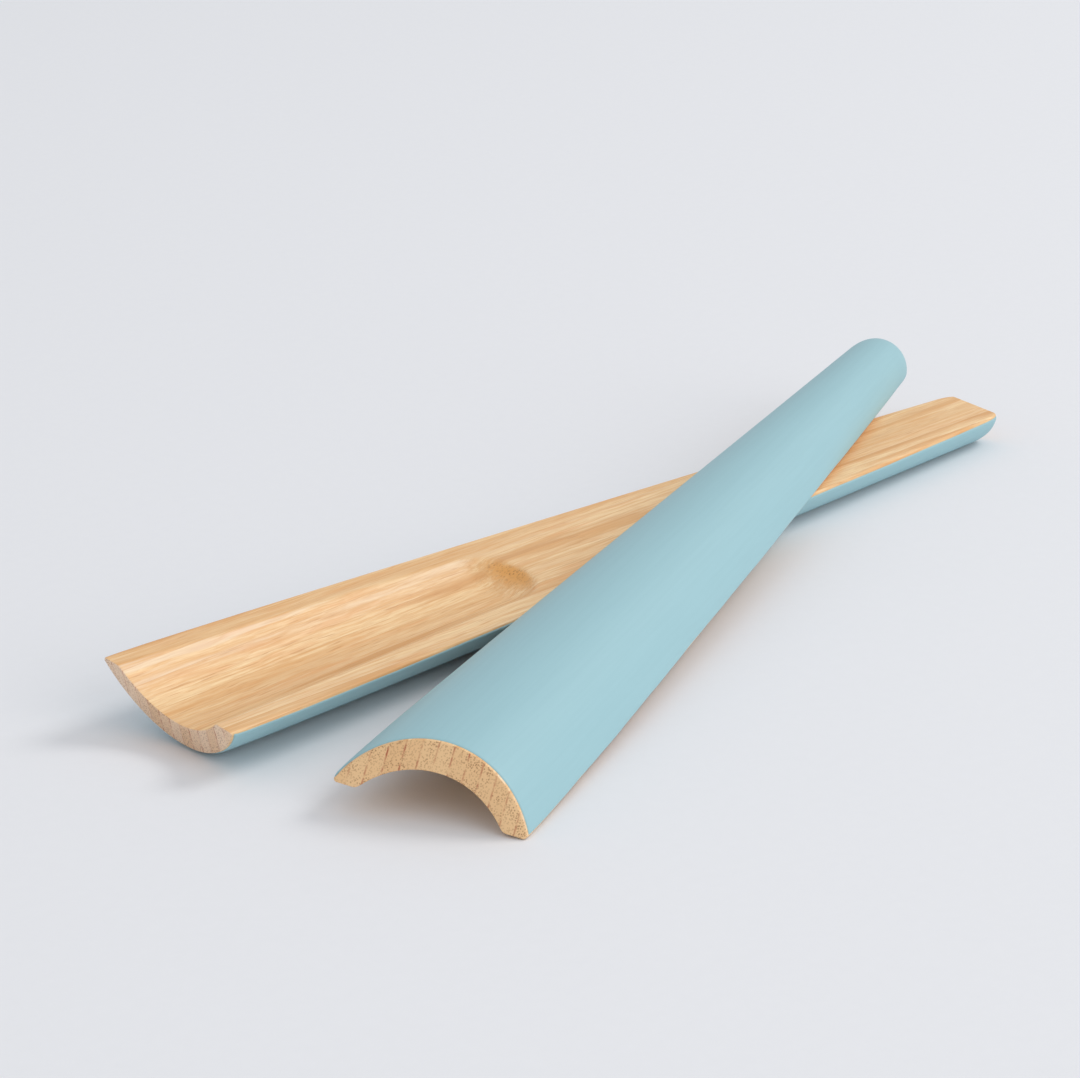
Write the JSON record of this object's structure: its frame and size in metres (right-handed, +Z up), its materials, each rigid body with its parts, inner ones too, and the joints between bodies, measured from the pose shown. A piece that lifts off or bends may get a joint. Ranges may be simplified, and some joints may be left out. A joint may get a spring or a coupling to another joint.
{
  "type": "salad servers",
  "caption": "Pair of long laminated bamboo salad servers with open-ended scoops and lacquered backs, one lying face down across the other.",
  "frame": {"origin": "middle of the pair's footprint, on the surface that it lies on", "axes": "+X along the lower server from its scoop to its handle, +Y across it away from the upper server's scoop, +Z up"},
  "size_m": [0.3084, 0.1255, 0.0256],
  "materials": {
    "bamboo_honey": "satin, sanded along the grain",
    "bamboo_pale": "satin, sanded along the grain",
    "bamboo_cream": "satin, sanded along the grain",
    "bamboo_amber": "satin, sanded along the grain",
    "lacquer": "satin lacquer"
  },
  "bodies": {
    "lower_server": {"lower_strip_01": "bamboo_amber", "lower_strip_02": "bamboo_cream", "lower_strip_03": "bamboo_pale", "lower_strip_04": "bamboo_honey", "lower_strip_05": "bamboo_amber", "lower_strip_06": "bamboo_cream", "lower_strip_07": "bamboo_pale", "lower_strip_08": "bamboo_honey", "lower_strip_09": "bamboo_amber", "lower_strip_10": "bamboo_cream", "lower_strip_11": "bamboo_pale", "lower_strip_12": "bamboo_honey", "lower_strip_13": "bamboo_amber", "lower_lacquer_coat": "lacquer"},
    "upper_server": {"upper_strip_01": "bamboo_amber", "upper_strip_02": "bamboo_cream", "upper_strip_03": "bamboo_pale", "upper_strip_04": "bamboo_honey", "upper_strip_05": "bamboo_amber", "upper_strip_06": "bamboo_cream", "upper_strip_07": "bamboo_pale", "upper_strip_08": "bamboo_honey", "upper_strip_09": "bamboo_amber", "upper_strip_10": "bamboo_cream", "upper_strip_11": "bamboo_pale", "upper_strip_12": "bamboo_honey", "upper_strip_13": "bamboo_amber", "upper_lacquer_coat": "lacquer"}
  },
  "joints": [
    {"name": "upper_server_lift", "type": "slide", "parent": "lower_server", "child": "upper_server", "axis": [0, 0, 1], "range_m": [0, 0.12]}
  ]
}
